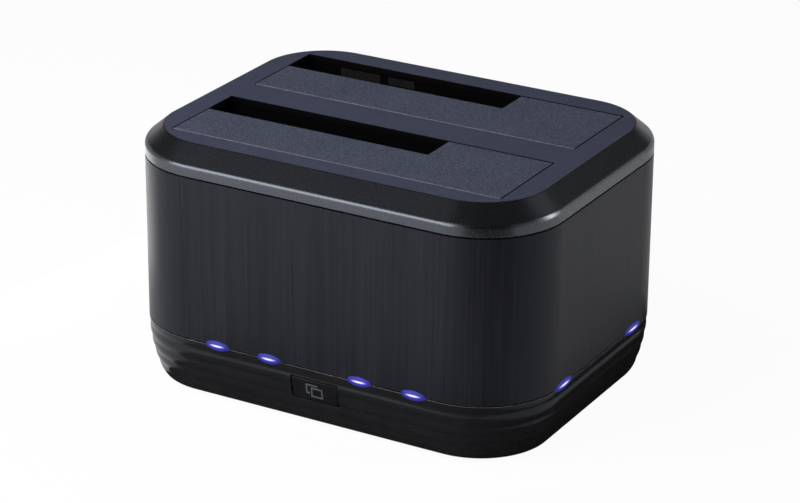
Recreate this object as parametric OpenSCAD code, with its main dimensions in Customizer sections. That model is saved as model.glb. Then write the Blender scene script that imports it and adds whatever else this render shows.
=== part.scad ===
// Docking station for two hard drives, standing on four feet.
// Each bay takes a 3.5 inch drive through a sprung door, or a 2.5 inch drive through a mouth beside it.
// Millimetres, Z up, front towards -Y, origin on the table under the middle of the body.

/* [Body] */
// Width of the body. At 129 its slots take the 101.6 width of a 3.5 inch drive, with play
body_w = 129; // [116:0.5:150]
// Depth of the body. At 99 its slots take the 26.1 thickness of that drive, with the door folded beside it
body_d = 99; // [89:0.5:118]
// Distance from a slot's end to the side of the body
end_margin = 12.5; // [12.2:0.1:14]
// Distance from the front slot to the front of the body
front_margin = 12.05; // [11.5:0.05:14]
// Distance from the rear slot to the back of the body
rear_margin = 13.3; // [12.5:0.1:16]
// Distance between the two slots
bay_gap = 12.05; // [9.5:0.05:14]
// Radius of the body's upright corners
corner_r = 24.4; // [21:0.1:26]
// How far the feet lift the base off the table
foot_proud = 0.8; // [0.4:0.1:1.2]
// Height of the base
base_h = 17.1; // [16.2:0.1:20]
// Height of the groove between base and sleeve
seam_gap = 0.4; // [0.2:0.05:0.8]
// Height of the sleeve
sleeve_h = 48.3; // [46:0.1:60]
// Height of the seam between sleeve and top cover
rim_gap = 0.4; // [0.2:0.05:0.8]
// Height of the top cover's rim
rim_h = 8; // [7:0.1:10]
// Wall of the sleeve
sleeve_wall = 1.6; // [1.2:0.1:2]
// Thickness of the lips that enter the sleeve
lip_t = 1.5; // [1:0.1:2]
// How far the lips enter the sleeve
lip_h = 3; // [2:0.1:5]

/* [Mouths] */
// Width of a 2.5 inch drive
drive25_w = 69.85; // [66:0.05:73]
// Thickness of a 2.5 inch drive
drive25_t = 9.5; // [7:0.1:10.5]
// Play across a 2.5 inch drive, both ends together
play25_w = 1.75; // [0.6:0.05:2.5]
// Play through a 2.5 inch drive
play25_t = 2.75; // [0.4:0.05:3]

/* [Top cover] */
// Thickness of the top plate
cover_t = 2.2; // [1.8:0.1:2.3]
// Width of the sloping edge, seen from above
chamfer_w = 5.3; // [4:0.05:5.6]
// Height of the sloping edge
chamfer_h = 4.5; // [3.5:0.1:5]
// Rounding of the ridge under the sloping edge
ridge_r = 2.4; // [1:0.1:3]
// Radius of the screw posts
post_r = 2.3; // [2:0.05:2.5]

/* [Base] */
// How far the base draws in towards the table
base_in = 3.5; // [3:0.1:5]
// Depth of the creases between the ribs around the base
rib_depth = 0.3; // [0.2:0.05:0.6]
// Distance from the top of the base to the first crease
rib_first = 2.5; // [2:0.1:3.2]
// Distance from one crease to the next
rib_pitch = 3.65; // [3:0.05:4]
// Wall of the base behind the creases
base_wall = 1.4; // [1:0.1:1.8]
// Floor of the base
floor_t = 2; // [1.6:0.1:2.6]
// Radius of a foot
foot_r = 5; // [3:0.1:6]
// Depth of the seat that a foot is glued into
foot_seat = 0.8; // [0.4:0.1:1]

/* [Doors] */
// Thickness of a door
door_t = 2; // [1.6:0.1:2.1]
// Gap beside and in front of a door
door_gap = 0.3; // [0.2:0.05:0.5]
// Gap behind a door, which its edge needs when it swings
door_gap_back = 0.5; // [0.45:0.05:0.8]
// Radius of a hinge pin
hinge_pin_r = 1; // [0.8:0.05:1.1]
// Running clearance of a door on its pin
hinge_play = 0.06; // [0.03:0.01:0.09]
// Radius of the knuckles around a pin
knuckle_r = 1.9; // [1.75:0.05:2]
// Radius of the wire of a door spring
wire_r = 0.25; // [0.2:0.01:0.3]
// Turns of a door spring
spring_turns = 4; // [3:1:4]

/* [Inside] */
// Wall of a drive guide
guide_t = 1.5; // [1.1:0.1:1.6]
// Thickness of the circuit board
board_t = 1.6; // [1:0.1:2]
// Height of a drive's seat above the board
seat_h = 4; // [3:0.1:6]
// Length of a drive socket
socket_w = 42; // [39:0.1:46]
// Thickness of a drive socket
socket_d = 6; // [5.4:0.1:7]
// Height of a drive socket
socket_h = 8.6; // [7:0.1:11]

/* [Lamps and button] */
// Width of a front lamp's lens
lens_w = 7.4; // [5:0.1:9]
// Width of a side lamp's lens
side_lens_w = 9.6; // [7:0.1:11]
// Height of a lamp lens
lens_h = 2.9; // [2:0.1:3.2]
// Distance of the inner front lamps from the button's middle
lens_x_inner = 14.5; // [10:0.1:18]
// Distance of the outer front lamps from the button's middle
lens_x_outer = 31.5; // [27:0.1:34]
// Distance of the button's middle to the right of the body's
front_shift = 1.3; // [0:0.1:2]
// Width of the button
button_w = 14.6; // [10:0.1:18]
// Height of the button
button_h = 6.5; // [5:0.1:6.8]
// Distance from the top of the base to the button
button_drop = 3.2; // [2.8:0.1:3.8]
// Travel of the button
button_travel = 0.8; // [0.4:0.1:1]

/* [Rear ports] */
// Width of the pocket that holds the ports
pocket_w = 66; // [62:1:70]
// Distance between neighbouring ports
port_pitch = 20; // [18:0.5:21]
// Width of the data port
usb_w = 12; // [11.6:0.1:13]
// Height of the data port
usb_h = 10.8; // [10.4:0.1:11]
// Radius of the power jack's mouth
jack_r = 3.2; // [2.8:0.1:3.6]
// Radius of the power jack's centre pin
jack_pin_r = 1.05; // [0.8:0.05:1.25]
// Width of the power switch's frame
switch_w = 15; // [14:0.1:16]
// Height of the power switch's frame
switch_h = 10.4; // [9.6:0.1:10.8]
// Angle that the rocker tips to each side
rocker_tilt = 8; // [4:0.5:10]

/* [Hidden] */
$fn = 64;
// Overshoot of a cut past the face it opens
over = 1;

// Sizes and places in plan
slot_w = body_w - 2 * end_margin;
slot_d = (body_d - front_margin - bay_gap - rear_margin) / 2;
mouth_w = drive25_w + play25_w;
mouth_d = drive25_t + play25_t;
corner_x = body_w / 2 - corner_r;
corner_y = body_d / 2 - corner_r;
function bay_front(bay) = -body_d / 2 + front_margin + bay * (slot_d + bay_gap);
function bay_middle(bay) = bay_front(bay) + slot_d / 2;
mid_gap_y = bay_front(1) - bay_gap / 2;

// Heights, from the table up
z_base = foot_proud;
z_base_top = z_base + base_h;
z_sleeve = z_base_top + seam_gap;
z_sleeve_top = z_sleeve + sleeve_h;
z_rim = z_sleeve_top + rim_gap;
z_top = z_rim + rim_h;
z_ridge = z_top - chamfer_h;
z_plate = z_top - cover_t;
z_lens = z_base_top + seam_gap / 2;
led_h = 1.2;
z_board = z_lens + led_h / 2;
z_board_top = z_board + board_t;
z_seat = z_board_top + seat_h;

// Lips of the cover and the base inside the sleeve, as distances in from the body's side
lip_play = 0.15;
lip_out = sleeve_wall + lip_play;
lip_in = lip_out + lip_t;

// The base in section: an arc, upright at the top, with rounded ribs along it and creases between them
arc_r = (base_h * base_h + base_in * base_in) / (2 * base_in);
function base_inset(drop) = arc_r - sqrt(arc_r * arc_r - drop * drop);
function base_inner(drop) = base_inset(drop) + rib_depth + base_wall;
crease_count = 4;
rib_steps = 5;
function crease_drop(crease) = rib_first + crease * rib_pitch;
rib_edges = concat([-rib_first], [for (crease = [0:crease_count - 1]) crease_drop(crease)], [base_h]);
// How far in a rib lies at a drop: nothing past the arc in its middle, and a crease's depth at its edges
function rib_inset(rib, drop) =
  base_inset(drop) + rib_depth * pow((2 * drop - rib_edges[rib] - rib_edges[rib + 1])
    / (rib_edges[rib + 1] - rib_edges[rib]), 2);
lip_root = 2.5;

// Hinges: the axis lies under the cover, in front of the slot
hinge_back = 2;
knuckle_room = 0.4;
hinge_drop = cover_t + knuckle_room + knuckle_r;
z_hinge = z_top - hinge_drop;
pin_seat_play = 0.02;
ear_w = 2.3;
ear_reach = 4;
ear_gap = 1.3;
boss_w = 3;
boss_edge = 1;
boss_wall = 1.4;
boss_x = slot_w / 2 - door_gap;
ear_x = boss_x - ear_gap - ear_w;
pin_short = 0.5;
pin_end = boss_x + boss_w - pin_short;

// Door spring around the pin, beside the right ear
coil_play = 0.35;
coil_r = hinge_pin_r + wire_r + coil_play;
spring_pitch = 1.05;
spring_rings = 8;
spring_sides = 6;
spring_gap = 0.4;
spring_x = ear_x - spring_gap - spring_turns * spring_pitch - wire_r;
cover_leg = 3.8;
door_leg = 6;

// Tabs that stop a closed door under the back edge of its slot
tab_w = 4;
tab_t = 1.2;
tab_play = 0.25;
tab_reach = 1;
tab_root = 2.5;
tab_edge = 5;
tab_places = [mouth_w - slot_w / 2 + tab_edge + tab_w / 2, slot_w / 2 - tab_edge - tab_w / 2];

// Drive guides
guide_play = 0.2;
guide_front_play = 0.3;
guide_half = slot_w / 2 + guide_play;
window_play = 0.6;
window_half = tab_w / 2 + window_play;
window_h = 12;
hinge_room = 4.5;

// Screws that clamp cover, board and base together
post_x = guide_half + guide_t + guide_play + post_r;
post_spread = 12;
post_y = [mid_gap_y - post_spread, mid_gap_y + post_spread];
screw_r = 1.25;
screw_head_r = 2.1;
screw_head_h = 1.8;
screw_play = 0.02;
head_room = 0.25;
screw_shelf = 8;
screw_bite = 9;

// Board, inside the base's lip
board_play = 0.75;
board_in = lip_in + board_play;
board_hole_play = 0.3;

// Lamp lenses in the seam, with a chip behind each on the underside of the board
lens_play = 0.1;
lens_end_r = 0.8;
led_w = 3;
led_d = 1.2;
led_gap = 0.2;
lens_depth = board_in - led_gap;
front_lamps = [for (x = [-lens_x_outer, -lens_x_inner, lens_x_inner, lens_x_outer]) x + front_shift];

// Button in the front of the base, and the switch behind it
button_play = 0.3;
button_z_top = z_base_top - button_drop;
button_z = button_z_top - button_h / 2;
button_wall_extra = 0.6;
button_back_in = base_inner(button_drop + button_h) + button_wall_extra;
flange_play = 0.1;
flange_in = button_back_in + flange_play;
flange_t = 1;
flange_edge = 1;
stem_r = 1.4;
stem_l = 2.4;
stem_gap = 0.05;
plunger_r = 0.9;
plunger_play = 0.1;
plunger_l = 2.4;
plunger_spare = 0.3;
plunger_out = button_travel + plunger_spare;
switch_body_w = 6.5;
switch_body_d = 4.2;
switch_body_below = 3.4;
plunger_in = flange_in + flange_t + stem_l + stem_gap;
switch_in = plunger_in + plunger_out;

// Rear ports, in a pocket cut into the back of the base
pocket_in = 3.6;
pocket_wall = 1.8;
pocket_top = 1.5;
pocket_h = 11.6;
pocket_y = body_d / 2 - pocket_in;
pocket_z_top = z_base_top - pocket_top;
port_z = pocket_z_top - pocket_h / 2;
port_play = 0.15;
port_proud = 0.5;
usb_l = 17;
usb_wall = 0.4;
usb_back = 3;
usb_tab = 3;
tongue_back = 2;
// Width, thickness and height in the port of its lower and upper tongues
usb_tongues = [[5.6, 3.2, -3], [3.8, 1, 2.4]];
jack_w = 9;
jack_l = 14;
jack_depth = 9.5;
jack_bottom = 4.8;
jack_pin_back = 1.5;
frame_t = 1.3;
frame_edge = 1;
frame_l = 9.5;
frame_wall = 1;
rocker_play = 0.25;
rocker_r = switch_w / 2 - frame_edge - frame_wall - rocker_play;
rocker_crown = 1.5;
rocker_slope = 1;
rocker_under = 2.2;
axle_r = 0.9;
axle_play = 0.05;
axle_l = 0.7;

// Drive socket, near the left end of the slot, where both sizes of drive have their contacts
socket_reach = 27.3;
socket_back = 4.6;
socket_play = 0.4;
socket_x = -slot_w / 2 + socket_reach;
contact_pitch = 1.27;
contact_w = 0.5;
contact_t = 0.3;
tongue_gap = 1.7;
tongue_margin = 0.8;
tongue_depth = 6;
hook_w = 1.3;
hook_d = 1.3;
key_gap = 2.4;
power_contacts = 15;
signal_contacts = 7;
function tongue_l(count) = count * contact_pitch + 2 * tongue_margin;
tongue_row = tongue_l(power_contacts) + key_gap + tongue_l(signal_contacts);
power_x = -tongue_row / 2;
signal_x = power_x + tongue_l(power_contacts) + key_gap;

// Feet
foot_corner = 3;
foot_x = corner_x + foot_corner;
foot_y = corner_y + foot_corner;
foot_edge = 0.4;
foot_play = 0.1;

// Distance from a corner's centre to a line that lies inset from the body's side
function at(inset) = corner_r - inset;

// Carries a section around the body: across is the distance from the corner's centre, up is the height
module around() {
  for (side = [0:3]) {
    run = side % 2 == 0 ? corner_x : corner_y;
    out = side % 2 == 0 ? corner_y : corner_x;
    rotate([0, 0, 90 * side]) {
      translate([-run, out, 0]) rotate([90, 0, 90]) linear_extrude(2 * run) children();
      translate([run, out, 0]) rotate_extrude(angle = 90) children();
    }
  }
}

// A plate with the body's outline, drawn in by inset
module slab(inset, z, h) {
  around() translate([0, z]) square([at(inset), h]);
  translate([-corner_x, -corner_y, z]) cube([2 * corner_x, 2 * corner_y, h]);
}

// What is left outside an arc of radius r at the corner between two edges, to be cut away
module corner_waste(before, corner, after, r) {
  to_before = (before - corner) / norm(before - corner);
  to_after = (after - corner) / norm(after - corner);
  half = acos(to_before * to_after) / 2;
  reach = r / tan(half);
  bisector = (to_before + to_after) / norm(to_before + to_after);
  centre = corner + bisector * r / sin(half);
  difference() {
    polygon([corner + to_before * reach, corner - bisector * r, corner + to_after * reach, centre]);
    translate(centre) circle(r);
  }
}

// A box between two corners
module box(low, high) {
  translate(low) cube(high - low);
}

// A bar along X from x0 to x1, with a section of depth and height
module bar_x(x0, x1) {
  translate([x0, 0, 0]) rotate([90, 0, 90]) linear_extrude(x1 - x0) children();
}

module at_bay(bay) {
  translate([0, bay_front(bay), 0]) children();
}

module at_posts() {
  for (side = [-1, 1], y = post_y) translate([side * post_x, y, 0]) children();
}

// Top cover

module rim_section() {
  sloping = [at(chamfer_w), z_top];
  ridge = [at(0), z_ridge];
  foot = [at(0), z_rim];
  difference() {
    polygon([
      [at(chamfer_w + cover_t), z_plate], [at(chamfer_w + cover_t), z_top], sloping, ridge, foot,
      [at(lip_out), z_rim], [at(lip_out), z_sleeve_top - lip_h],
      [at(lip_in), z_sleeve_top - lip_h], [at(lip_in), z_ridge - cover_t / 2],
      [at(chamfer_w + cover_t / 2), z_plate]
    ]);
    corner_waste(sloping, ridge, foot, ridge_r);
  }
}

// Bosses that hold the ends of the hinge pins, kept inside the rounded rim
module hinge_bosses() {
  intersection() {
    for (bay = [0, 1], side = [0, 1]) at_bay(bay) mirror([side, 0, 0]) box(
      [boss_x, -hinge_back - hinge_pin_r - boss_wall, z_hinge - hinge_pin_r - boss_wall],
      [boss_x + boss_w, -hinge_back + hinge_pin_r + boss_wall / 2, z_plate + over / 2]
    );
    slab(lip_in + boss_edge, z_board, z_top - z_board);
  }
}

module pin_hole(r) {
  translate([0, -hinge_back, z_hinge]) rotate([0, 90, 0]) cylinder(r = r, h = body_w, center = true);
}

module top_cover() {
  color("#2c2e36") difference() {
    union() {
      around() rim_section();
      slab(chamfer_w + cover_t / 2, z_plate, cover_t);
      at_posts() translate([0, 0, z_board_top]) cylinder(r = post_r, h = z_plate + over / 2 - z_board_top);
      hinge_bosses();
    }
    for (bay = [0, 1]) at_bay(bay) {
      box([-slot_w / 2, 0, z_plate - over], [slot_w / 2, slot_d, z_top + over]);
      intersection() {
        pin_hole(hinge_pin_r + pin_seat_play);
        box([-pin_end, -slot_d, z_board], [pin_end, 0, z_plate]);
      }
    }
    at_posts() translate([0, 0, z_board_top - over])
      cylinder(r = screw_r + screw_play, h = screw_bite + over);
  }
}

// Sleeve and base

// Outline of a lens: two flat arcs that run into a small arc at each end
module lens_outline(w, play) {
  half_h = lens_h / 2 + play;
  end_r = lens_end_r + play;
  reach = w / 2 - lens_end_r;
  flank_r = (reach * reach + half_h * half_h - end_r * end_r) / (2 * (half_h - end_r));
  join_x = flank_r * reach / (flank_r - end_r);
  intersection() {
    translate([0, flank_r - half_h]) circle(flank_r);
    translate([0, half_h - flank_r]) circle(flank_r);
    square([2 * join_x, lens_h + 2 * play], center = true);
  }
  for (side = [-1, 1]) translate([side * reach, 0]) circle(end_r);
}

// A bar with a lens's outline that runs inwards from a face
module lens_bar(w, play, from, to) {
  translate([0, to, 0]) rotate([90, 0, 0]) linear_extrude(to - from) lens_outline(w, play);
}

module at_front_lamp(x) {
  translate([x, -body_d / 2, z_lens]) children();
}

module at_side_lamp(bay) {
  translate([body_w / 2, bay_middle(bay), z_lens]) rotate([0, 0, 90]) children();
}

module lens_cuts() {
  for (x = front_lamps) at_front_lamp(x) lens_bar(lens_w, lens_play, -over, board_in);
  for (bay = [0, 1]) at_side_lamp(bay) lens_bar(side_lens_w, lens_play, -over, board_in);
}

module outer_sleeve() {
  color("#141518") difference() {
    around() translate([at(sleeve_wall), z_sleeve]) square([sleeve_wall, sleeve_h]);
    lens_cuts();
  }
}

// Outside of the base in section, from its top edge down
base_outside = concat(
  [[at(0), z_base_top]],
  [for (rib = [0:crease_count], step = [1:rib_steps])
    let(start = max(rib_edges[rib], 0), drop = start + (rib_edges[rib + 1] - start) * step / rib_steps)
    [at(rib_inset(rib, drop)), z_base_top - drop]]
);

// The ring of the base with nothing hollowed out of it
module base_ring() {
  around() polygon(concat([[0, z_base], [0, z_base_top]], base_outside));
}

module base_section() {
  steps = 4;
  inside = [for (step = [0:steps]) let(drop = base_h * (1 - step / steps))
    [at(base_inner(drop)), z_base_top - drop]];
  polygon(concat(base_outside, inside));
  translate([at(lip_in), z_base_top - lip_root]) square([lip_t, lip_root + seam_gap + lip_h]);
  translate([at(lip_in), z_base_top - lip_root]) square([lip_in - rib_depth - base_wall / 2, lip_root]);
}

module base_posts() {
  at_posts() translate([0, 0, z_base]) cylinder(r = screw_head_r + base_wall, h = z_board - z_base);
}

module screw_ways() {
  at_posts() {
    translate([0, 0, z_base - over]) cylinder(r = screw_head_r + head_room, h = screw_shelf + over);
    translate([0, 0, z_base]) cylinder(r = screw_r + board_hole_play, h = z_board_top - z_base);
  }
}

module at_button() {
  translate([front_shift, -body_d / 2, button_z]) children();
}

// Flat walls inside the base that the button and the ports pass through
module button_wall() {
  edge = 2 * flange_edge;
  intersection() {
    at_button() box(
      [-button_w / 2 - edge, 0, -button_h / 2 - edge],
      [button_w / 2 + edge, button_back_in, button_h / 2 + edge]
    );
    base_ring();
  }
}

module port_wall() {
  intersection() {
    box(
      [-pocket_w / 2 - pocket_wall, pocket_y - pocket_wall, z_base],
      [pocket_w / 2 + pocket_wall, body_d / 2, z_base_top]
    );
    base_ring();
  }
}

module pocket_cut() {
  box(
    [-pocket_w / 2, pocket_y, pocket_z_top - pocket_h],
    [pocket_w / 2, body_d / 2 + over, pocket_z_top]
  );
}

module at_port(place) {
  translate([place * port_pitch, pocket_y, port_z]) children();
}

// A cut through the port wall for a port of the given width and height
module port_cut(w, h) {
  half_w = w / 2 + port_play;
  half_h = h / 2 + port_play;
  box([-half_w, -pocket_wall - over, -half_h], [half_w, over, half_h]);
}

module foot_places() {
  for (x = [-1, 1], y = [-1, 1]) translate([x * foot_x, y * foot_y, 0]) children();
}

module base_housing() {
  color("#0d0e10") difference() {
    union() {
      around() base_section();
      slab(base_in + rib_depth + base_wall / 2, z_base, floor_t);
      base_posts();
      button_wall();
      port_wall();
    }
    lens_cuts();
    screw_ways();
    pocket_cut();
    at_port(-1) port_cut(switch_w - 2 * frame_edge, switch_h - 2 * frame_edge);
    at_port(0) port_cut(usb_w, usb_h);
    at_port(1) port_cut(jack_w, 2 * jack_bottom);
    at_button() box(
      [-button_w / 2 - button_play, -over, -button_h / 2 - button_play],
      [button_w / 2 + button_play, button_back_in + over, button_h / 2 + button_play]
    );
    foot_places() translate([0, 0, z_base - over]) cylinder(r = foot_r, h = foot_seat + over);
  }
}

// Doors and their hinges

module door_panel() {
  difference() {
    box(
      [-slot_w / 2 + door_gap, door_gap, z_top - door_t],
      [slot_w / 2 - door_gap, slot_d - door_gap_back, z_top]
    );
    box(
      [-slot_w / 2 - over, slot_d - mouth_d, z_plate - over],
      [-slot_w / 2 + mouth_w, slot_d + over, z_top + over]
    );
  }
}

// Ear that carries the door on its pin, as depth and height from the pin's axis
module ear_section() {
  under = hinge_drop - door_t;
  front = hinge_back + door_gap;
  inside = 0.7 * knuckle_r;
  circle(knuckle_r);
  polygon([
    [-inside / 2, inside], [front, knuckle_r], [front, under + door_t / 2],
    [ear_reach, under + door_t / 2], [ear_reach, under], [inside, -inside]
  ]);
}

module door_ears() {
  for (side = [0, 1]) mirror([side, 0, 0])
    translate([0, -hinge_back, z_hinge]) bar_x(ear_x, ear_x + ear_w) ear_section();
}

module door_tabs() {
  tab_top = z_plate - tab_play;
  for (x = tab_places) {
    box(
      [x - tab_w / 2, slot_d - tab_root, tab_top - tab_t],
      [x + tab_w / 2, slot_d + tab_reach, tab_top]
    );
    box(
      [x - tab_w / 2, slot_d - tab_root, tab_top - tab_t],
      [x + tab_w / 2, slot_d - door_gap_back, z_top - door_t / 2]
    );
  }
}

module door(bay) {
  color("#34363f") at_bay(bay) difference() {
    union() {
      door_panel();
      door_ears();
      door_tabs();
    }
    pin_hole(hinge_pin_r + hinge_play);
  }
}

module hinge_pin(bay) {
  color("silver") at_bay(bay) translate([-pin_end, -hinge_back, z_hinge])
    rotate([0, 90, 0]) cylinder(r = hinge_pin_r, h = 2 * pin_end);
}

// Points along the spring's wire: a leg under the cover, the coil, and a leg under the door
spring_path = concat(
  [[spring_x, -cover_leg, coil_r + wire_r / 2]],
  [for (step = [0:spring_turns * spring_rings]) let(turn = step / spring_rings, angle = 90 - 360 * turn)
    [spring_x + turn * spring_pitch, coil_r * cos(angle), coil_r * sin(angle)]],
  [[spring_x + spring_turns * spring_pitch, door_leg, coil_r + wire_r]]
);

// A tube of radius r along a path that never runs along X
module tube(path, r, sides) {
  last = len(path) - 1;
  rings = [for (i = [0:last])
    let(
      ahead = path[min(i + 1, last)] - path[max(i - 1, 0)],
      along = ahead / norm(ahead),
      across = [1, 0, 0] - along * along[0],
      side = across / norm(across),
      up = cross(along, side)
    )
    for (k = [0:sides - 1]) path[i] + r * (cos(360 * k / sides) * side + sin(360 * k / sides) * up)];
  walls = [for (i = [0:last - 1], k = [0:sides - 1])
    let(a = i * sides + k, b = i * sides + (k + 1) % sides)
    for (face = [[a, a + sides, b], [b, a + sides, b + sides]]) face];
  start = [for (k = [1:sides - 2]) [0, k, k + 1]];
  end = [for (k = [1:sides - 2]) [last * sides, last * sides + k + 1, last * sides + k]];
  polyhedron(rings, concat(walls, start, end));
}

module door_spring(bay) {
  color("lightgray") at_bay(bay) translate([0, -hinge_back, z_hinge]) tube(spring_path, wire_r, spring_sides);
}

// Guides, board and sockets

// Height, with the door open, of what lies y behind the front of the slot when it is closed
function open_z(y) = z_hinge - hinge_back - y;

// The well of a bay, with windows in its walls where the door's tabs start and end their swing
module drive_guide(bay) {
  back = slot_d + guide_play;
  color("#1b1c20") at_bay(bay) difference() {
    box(
      [-guide_half - guide_t, -guide_front_play - guide_t, z_board_top],
      [guide_half + guide_t, back + guide_t, z_plate]
    );
    box([-guide_half, -guide_front_play, z_seat], [guide_half, back, z_top]);
    box([-guide_half, -slot_d, z_board], [guide_half, 2 * slot_d, z_seat - guide_t]);
    box([-body_w / 2, -slot_d, z_hinge - hinge_room], [body_w / 2, 0, z_top]);
    for (x = tab_places) translate([x, 0, 0]) {
      box([-window_half, slot_d, z_plate - window_h], [window_half, back + guide_t + over, z_top]);
      box(
        [-window_half, -guide_t - over, open_z(slot_d + tab_reach) - window_play],
        [window_half, 0, open_z(slot_d - tab_root) + window_play]
      );
    }
    translate([socket_x, slot_d - socket_back, 0]) box(
      [-socket_w / 2 - socket_play, -socket_d / 2 - socket_play, z_board],
      [socket_w / 2 + socket_play, socket_d / 2 + socket_play, z_seat + over]
    );
  }
}

module main_board() {
  color("darkgreen") difference() {
    slab(board_in, z_board, board_t);
    at_posts() translate([0, 0, z_board - over])
      cylinder(r = screw_r + board_hole_play, h = board_t + 2 * over);
  }
}

module at_socket(bay) {
  at_bay(bay) translate([socket_x, slot_d - socket_back, z_board_top]) children();
}

// Hooked slot for a drive's tongue, from its left end
module tongue_slot(count) {
  box([0, -tongue_gap / 2, socket_h - tongue_depth], [tongue_l(count), tongue_gap / 2, socket_h + over]);
  box([0, -tongue_gap / 2 - hook_d, socket_h - tongue_depth], [hook_w, over / 2, socket_h + over]);
}

module sata_socket(bay) {
  color("#101010") at_socket(bay) difference() {
    box([-socket_w / 2, -socket_d / 2, 0], [socket_w / 2, socket_d / 2, socket_h]);
    translate([power_x, 0, 0]) tongue_slot(power_contacts);
    translate([signal_x, 0, 0]) tongue_slot(signal_contacts);
  }
}

module contact_row(x, count) {
  for (i = [0:count - 1]) {
    middle = x + tongue_margin + (i + 0.5) * contact_pitch;
    box(
      [middle - contact_w / 2, tongue_gap / 2 - contact_t, socket_h - tongue_depth],
      [middle + contact_w / 2, tongue_gap / 2, socket_h - contact_pitch]
    );
  }
}

module sata_contacts(bay) {
  color("gold") at_socket(bay) {
    contact_row(power_x, power_contacts);
    contact_row(signal_x, signal_contacts);
  }
}

module bridge_chip() {
  chip_w = 9;
  chip_h = 1;
  color("#202020") translate([slot_w / 4, mid_gap_y, z_board_top])
    box([-chip_w / 2, -chip_w / 2, 0], [chip_w / 2, chip_w / 2, chip_h]);
}

module board_capacitors() {
  can_r = 2;
  can_h = 5.4;
  color("lightslategray") for (place = [-1, 1])
    translate([post_x, mid_gap_y + 1.5 * place * can_r, z_board_top]) cylinder(r = can_r, h = can_h);
}

module housing_screws() {
  color("dimgray") at_posts() translate([0, 0, z_base + screw_shelf]) {
    translate([0, 0, -screw_head_h]) cylinder(r = screw_head_r, h = screw_head_h);
    translate([0, 0, -screw_head_h / 2])
      cylinder(r = screw_r, h = z_board_top - z_base - screw_shelf + screw_bite + screw_head_h / 2 - over);
  }
}

// Lamps

module lens_body(w) {
  color("#3aa0ff") lens_bar(w, 0, 0, lens_depth);
}

module led_chip() {
  color("white") box([-led_w / 2, board_in, -led_h / 2], [led_w / 2, board_in + led_d, led_h / 2]);
}

// Button and its switch

module clone_button() {
  face_top = base_inset(button_drop);
  face_bottom = base_inset(button_drop + button_h);
  half_h = button_h / 2;
  root = flange_in + flange_t / 2;
  color("#0d0e10") at_button() {
    bar_x(-button_w / 2, button_w / 2) polygon([
      [face_top, half_h], [face_bottom, -half_h], [root, -half_h], [root, half_h]
    ]);
    box(
      [-button_w / 2 - flange_edge, flange_in, -half_h - flange_edge],
      [button_w / 2 + flange_edge, flange_in + flange_t, half_h + flange_edge]
    );
    translate([0, root, 0]) rotate([-90, 0, 0]) cylinder(r = stem_r, h = stem_l + flange_t / 2);
  }
}

module plunger_bar(r, from, to) {
  translate([0, from, 0]) rotate([-90, 0, 0]) cylinder(r = r, h = to - from);
}

module clone_switch_body() {
  color("#222222") at_button() difference() {
    box(
      [-switch_body_w / 2, switch_in, -switch_body_below],
      [switch_body_w / 2, switch_in + switch_body_d, z_board - button_z]
    );
    plunger_bar(plunger_r + plunger_play, switch_in - over, plunger_in + plunger_l + plunger_out);
  }
}

module clone_switch_plunger() {
  color("ivory") at_button() plunger_bar(plunger_r, plunger_in, plunger_in + plunger_l);
}

// Rear ports

module usb_port_shell() {
  board_up = z_board - port_z;
  color("silver") at_port(0) {
    difference() {
      box([-usb_w / 2, port_proud - usb_l, -usb_h / 2], [usb_w / 2, port_proud, usb_h / 2]);
      box(
        [-usb_w / 2 + usb_wall, port_proud - usb_l + usb_wall, -usb_h / 2 + usb_wall],
        [usb_w / 2 - usb_wall, port_proud + over, usb_h / 2 - usb_wall]
      );
    }
    for (side = [0, 1]) mirror([side, 0, 0])
      box([usb_w / 2 - usb_wall, -usb_l / 2, 0], [usb_w / 2, -usb_l / 2 + usb_tab, board_up]);
  }
}

// Insulating block at the back of the data port, with its lower and upper tongues
module usb_port_tongue() {
  back = port_proud - usb_l + usb_wall;
  inner_w = usb_w / 2 - usb_wall;
  inner_h = usb_h / 2 - usb_wall;
  tip = port_proud - tongue_back;
  color("#2060c0") at_port(0) {
    box([-inner_w, back, -inner_h], [inner_w, back + usb_back, inner_h]);
    for (tongue = usb_tongues)
      translate([0, back, tongue[2]]) box([-tongue[0] / 2, 0, 0], [tongue[0] / 2, tip - back, tongue[1]]);
  }
}

module power_jack_body() {
  color("#151515") at_port(1) difference() {
    box(
      [-jack_w / 2, port_proud - jack_l, -jack_bottom],
      [jack_w / 2, port_proud - port_play, z_board - port_z]
    );
    box([-body_w, -pocket_wall - port_play, jack_bottom], [body_w, body_d, body_w]);
    translate([0, port_proud + over, 0]) rotate([90, 0, 0]) cylinder(r = jack_r, h = jack_depth + over);
  }
}

module power_jack_pin() {
  color("silver") at_port(1) translate([0, port_proud - jack_depth, 0])
    rotate([-90, 0, 0]) cylinder(r = jack_pin_r, h = jack_depth - jack_pin_back);
}

// Frame of the power switch: a bezel on the pocket's back, and a box behind it
module power_switch_frame() {
  half_w = switch_w / 2;
  half_h = switch_h / 2;
  inset = frame_edge + port_play;
  hollow = frame_edge + frame_wall;
  color("#121212") at_port(-1) difference() {
    union() {
      box([-half_w, 0, -half_h], [half_w, frame_t, half_h]);
      box([-half_w + inset, -frame_l, -half_h + inset], [half_w - inset, frame_t / 2, half_h - inset]);
    }
    box(
      [-half_w + hollow, -frame_l + frame_wall, -half_h + hollow],
      [half_w - hollow, frame_t + over, half_h - hollow]
    );
    cylinder(r = axle_r + axle_play, h = 2 * (half_h - hollow + axle_l), center = true);
  }
}

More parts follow.
